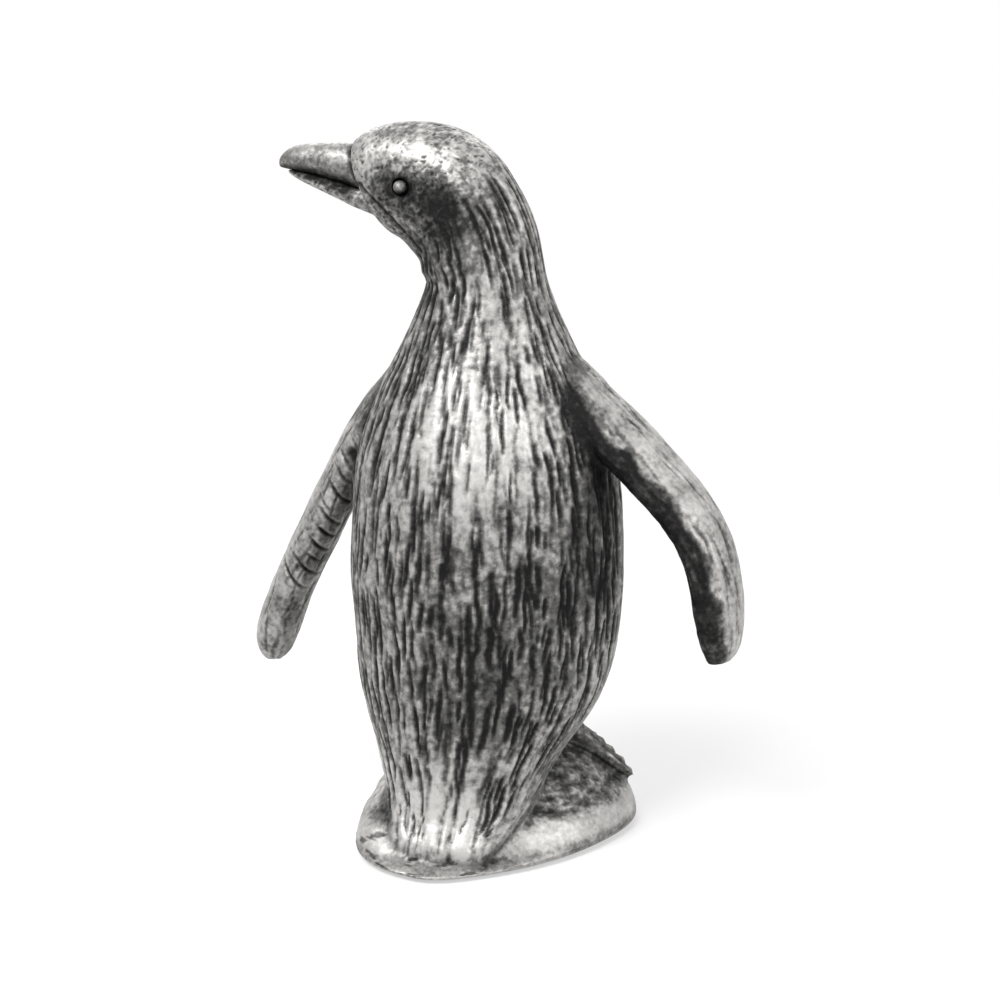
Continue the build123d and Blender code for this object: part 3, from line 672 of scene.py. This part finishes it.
def felt_pad():
    """The pad, with a fuzzy face and soft edges."""
    skin = Skin(("base_pad",), FELT_VOXEL, FELT_ROUNDS)
    skin.push(FUZZ * cloud(skin.points, size=0.5, seed=71, octaves=3) - FUZZ)
    skin.points[:, 2] = np.maximum(skin.points[:, 2], 0.0)
    made = skin.piece("felt_pad", ("base_pad",), metal="felt")
    return made


felt = felt_pad()


# Materials

SPECK_SHARE, PATCH_SHARE, TONE_DROP = 0.50, 0.30, 0.40  # in the tone of the pewter


def new_material(name):
    """A material, its tree and its principled shader, which is joined to the output."""
    material = bpy.data.materials.new(name)
    material.use_nodes = True
    tree = material.node_tree
    tree.nodes.clear()
    shader = tree.nodes.new("ShaderNodeBsdfPrincipled")
    output = tree.nodes.new("ShaderNodeOutputMaterial")
    tree.links.new(shader.outputs[0], output.inputs[0])
    return material, tree, shader


def node_of(tree, kind, **values):
    """A node with its inputs or properties set."""
    made = tree.nodes.new(kind)
    for key, value in values.items():
        if key in made.inputs:
            made.inputs[key].default_value = value
        else:
            setattr(made, key, value)
    return made


def colour_ramp(tree, stops):
    """A colour ramp through stops of a place and a colour."""
    made = tree.nodes.new("ShaderNodeValToRGB")
    points = made.color_ramp.elements
    while len(points) < len(stops):
        points.new(0.5)
    for point, (place, colour) in zip(points, stops):
        point.position = place
        point.color = (*colour, 1)
    return made


def pewter_material():
    """Antiqued pewter: black in the cuts, grey on the skin and bright where it is rubbed, with the painted
    highlights and shade that the tone carries.
    """
    material, tree, shader = new_material("antiqued_pewter")
    link = tree.links.new
    place = tree.nodes.new("ShaderNodeTexCoord")
    tone = node_of(tree, "ShaderNodeAttribute", attribute_name="tone")
    speck = node_of(tree, "ShaderNodeTexNoise", Scale=2600.0, Detail=3.0, Roughness=0.65)
    link(place.outputs["Object"], speck.inputs["Vector"])
    patch = node_of(tree, "ShaderNodeTexNoise", Scale=420.0, Detail=4.0, Roughness=0.6)
    link(place.outputs["Object"], patch.inputs["Vector"])
    fine = node_of(tree, "ShaderNodeMath", operation="MULTIPLY_ADD")
    link(speck.outputs["Fac"], fine.inputs[0])
    fine.inputs[1].default_value = SPECK_SHARE
    link(tone.outputs["Fac"], fine.inputs[2])
    both = node_of(tree, "ShaderNodeMath", operation="MULTIPLY_ADD")
    link(patch.outputs["Fac"], both.inputs[0])
    both.inputs[1].default_value = PATCH_SHARE
    link(fine.outputs[0], both.inputs[2])
    level = node_of(tree, "ShaderNodeMath", operation="SUBTRACT")
    link(both.outputs[0], level.inputs[0])
    level.inputs[1].default_value = TONE_DROP
    colour = colour_ramp(tree, (
        (0.0, (0.010, 0.010, 0.010)),
        (0.22, (0.036, 0.036, 0.035)),
        (0.48, (0.13, 0.128, 0.124)),
        (0.72, (0.345, 0.338, 0.327)),
        (1.0, (0.53, 0.523, 0.51)),
    ))
    link(level.outputs[0], colour.inputs["Fac"])
    link(colour.outputs["Color"], shader.inputs["Base Color"])
    rough = colour_ramp(tree, ((0.1, (0.62,) * 3), (0.55, (0.54,) * 3), (1.0, (0.47,) * 3)))
    link(level.outputs[0], rough.inputs["Fac"])
    link(rough.outputs["Color"], shader.inputs["Roughness"])
    bump = node_of(tree, "ShaderNodeBump", Strength=0.5, Distance=0.00006)
    link(speck.outputs["Fac"], bump.inputs["Height"])
    link(bump.outputs["Normal"], shader.inputs["Normal"])
    shader.inputs["Metallic"].default_value = 0.85
    return material


def steel_material():
    """Drawn steel rod, with lines along it."""
    material, tree, shader = new_material("drawn_steel")
    link = tree.links.new
    place = tree.nodes.new("ShaderNodeTexCoord")
    scale = node_of(tree, "ShaderNodeMapping", Scale=(900.0, 900.0, 5000.0))
    link(place.outputs["Object"], scale.inputs["Vector"])
    lines = node_of(tree, "ShaderNodeTexNoise", Scale=1.0, Detail=3.0)
    link(scale.outputs["Vector"], lines.inputs["Vector"])
    colour = colour_ramp(tree, ((0.3, (0.42, 0.42, 0.43)), (0.7, (0.62, 0.62, 0.63))))
    link(lines.outputs["Fac"], colour.inputs["Fac"])
    link(colour.outputs["Color"], shader.inputs["Base Color"])
    rough = colour_ramp(tree, ((0.3, (0.42,) * 3), (0.7, (0.28,) * 3)))
    link(lines.outputs["Fac"], rough.inputs["Fac"])
    link(rough.outputs["Color"], shader.inputs["Roughness"])
    shader.inputs["Metallic"].default_value = 1.0
    return material


def felt_material():
    """Pressed wool felt."""
    material, tree, shader = new_material("wool_felt")
    link = tree.links.new
    place = tree.nodes.new("ShaderNodeTexCoord")
    wool = node_of(tree, "ShaderNodeTexNoise", Scale=1800.0, Detail=5.0, Roughness=0.7, Distortion=1.5)
    link(place.outputs["Object"], wool.inputs["Vector"])
    colour = colour_ramp(tree, ((0.25, (0.018, 0.034, 0.022)), (0.75, (0.06, 0.10, 0.07))))
    link(wool.outputs["Fac"], colour.inputs["Fac"])
    link(colour.outputs["Color"], shader.inputs["Base Color"])
    bump = node_of(tree, "ShaderNodeBump", Strength=0.6, Distance=0.00015)
    link(wool.outputs["Fac"], bump.inputs["Height"])
    link(bump.outputs["Normal"], shader.inputs["Normal"])
    shader.inputs["Roughness"].default_value = 0.95
    shader.inputs["Sheen Weight"].default_value = 0.4
    return material


PEWTER, STEEL = pewter_material(), steel_material()
for made in bpy.data.objects:
    if made.type == "MESH" and "tone" in made.data.attributes:
        made.data.materials.append(PEWTER)
felt.data.materials.append(felt_material())
for node in ("base_screw", "base_dowel", "neck_pin", "left_flipper_pin", "right_flipper_pin"):
    mesh = frame["nodes"][node].data
    mesh.materials.clear()
    mesh.materials.append(STEEL)


# Floor, light and camera

AZIMUTH, ELEVATION, DISTANCE, LENS = math.radians(202), math.radians(16), 0.300, 108.0
RIGHT = Vector((math.cos(AZIMUTH), math.sin(AZIMUTH), 0))
BACK = Vector((
    math.sin(AZIMUTH) * math.cos(ELEVATION), -math.cos(AZIMUTH) * math.cos(ELEVATION), math.sin(ELEVATION)
))
ABOVE = BACK.cross(RIGHT)
MIDDLE_HEIGHT, AIM_RIGHT, AIM_BELOW = 36.7, 1.2, 1.9
MIDDLE = Vector((0, 0, MIDDLE_HEIGHT * MM))
AIM = MIDDLE + RIGHT * (AIM_RIGHT * MM) - ABOVE * (AIM_BELOW * MM)

camera_data = bpy.data.cameras.new("camera")
camera_data.lens = LENS
camera_data.sensor_width = 36.0
camera_data.clip_start = 0.01
camera = bpy.data.objects.new("camera", camera_data)
bpy.context.collection.objects.link(camera)
turn = Matrix((RIGHT, ABOVE, BACK)).transposed().to_4x4()
camera.matrix_world = Matrix.Translation(AIM + BACK * DISTANCE) @ turn
bpy.context.scene.camera = camera


def lamp(name, place, size, watts):
    """A square soft light that faces the middle of the object."""
    data = bpy.data.lights.new(name, "AREA")
    data.size = size
    data.energy = watts
    made = bpy.data.objects.new(name, data)
    made.location = MIDDLE + place
    made.rotation_euler = (-place).to_track_quat("-Z", "Y").to_euler()
    bpy.context.collection.objects.link(made)


lamp("key", BACK * 0.25 - RIGHT * 0.22 + Vector((0, 0, 0.34)), size=0.25, watts=3.2)
lamp("fill", BACK * 0.30 + RIGHT * 0.35 + Vector((0, 0, 0.10)), size=0.35, watts=0.9)
lamp("rim", BACK * -0.30 + Vector((0, 0, 0.30)), size=0.30, watts=0.8)


def seen_rays(tree):
    """1 for the rays that show the background: camera, glossy and transmission rays."""
    path = tree.nodes.new("ShaderNodeLightPath")
    shown = node_of(tree, "ShaderNodeMath", operation="MAXIMUM")
    tree.links.new(path.outputs["Is Camera Ray"], shown.inputs[0])
    tree.links.new(path.outputs["Is Glossy Ray"], shown.inputs[1])
    clear = node_of(tree, "ShaderNodeMath", operation="MAXIMUM")
    tree.links.new(shown.outputs[0], clear.inputs[0])
    tree.links.new(path.outputs["Is Transmission Ray"], clear.inputs[1])
    return clear.outputs[0]


def floor_plane():
    """A pale floor that keeps the shadow."""
    mesh = bpy.data.meshes.new("floor")
    work = bmesh.new()
    bmesh.ops.create_grid(work, x_segments=1, y_segments=1, size=3.0)
    work.to_mesh(mesh)
    work.free()
    made = bpy.data.objects.new("floor", mesh)
    bpy.context.collection.objects.link(made)
    material, tree, shader = new_material("pale_floor")
    link = tree.links.new
    shader.inputs["Base Color"].default_value = (0.85, 0.85, 0.85, 1)
    shader.inputs["Roughness"].default_value = 0.9
    white = node_of(tree, "ShaderNodeEmission", Color=(1, 1, 1, 1), Strength=1.0)
    place = tree.nodes.new("ShaderNodeTexCoord")
    reach = node_of(tree, "ShaderNodeVectorMath", operation="LENGTH")
    link(place.outputs["Object"], reach.inputs[0])
    far = node_of(tree, "ShaderNodeMapRange")
    for key, value in (("From Min", 0.02), ("From Max", 0.16), ("To Min", 0.5), ("To Max", 1.0)):
        far.inputs[key].default_value = value
    link(reach.outputs["Value"], far.inputs["Value"])
    share = node_of(tree, "ShaderNodeMath", operation="MULTIPLY")
    link(far.outputs["Result"], share.inputs[0])
    link(seen_rays(tree), share.inputs[1])
    blend = tree.nodes.new("ShaderNodeMixShader")
    link(share.outputs[0], blend.inputs["Fac"])
    link(shader.outputs[0], blend.inputs[1])
    link(white.outputs[0], blend.inputs[2])
    link(blend.outputs[0], tree.nodes["Material Output"].inputs["Surface"])
    mesh.materials.append(material)


floor_plane()

world = bpy.data.worlds.new("studio")
bpy.context.scene.world = world
world.use_nodes = True
sky = world.node_tree
sky.nodes.clear()
lit = node_of(sky, "ShaderNodeBackground", Color=(1, 1, 1, 1), Strength=0.4)
white = node_of(sky, "ShaderNodeBackground", Color=(1, 1, 1, 1), Strength=1.0)
blend = sky.nodes.new("ShaderNodeMixShader")
sky.links.new(seen_rays(sky), blend.inputs["Fac"])
sky.links.new(lit.outputs[0], blend.inputs[1])
sky.links.new(white.outputs[0], blend.inputs[2])
sky_out = sky.nodes.new("ShaderNodeOutputWorld")
sky.links.new(blend.outputs[0], sky_out.inputs[0])

bpy.context.scene.view_settings.view_transform = "Standard"
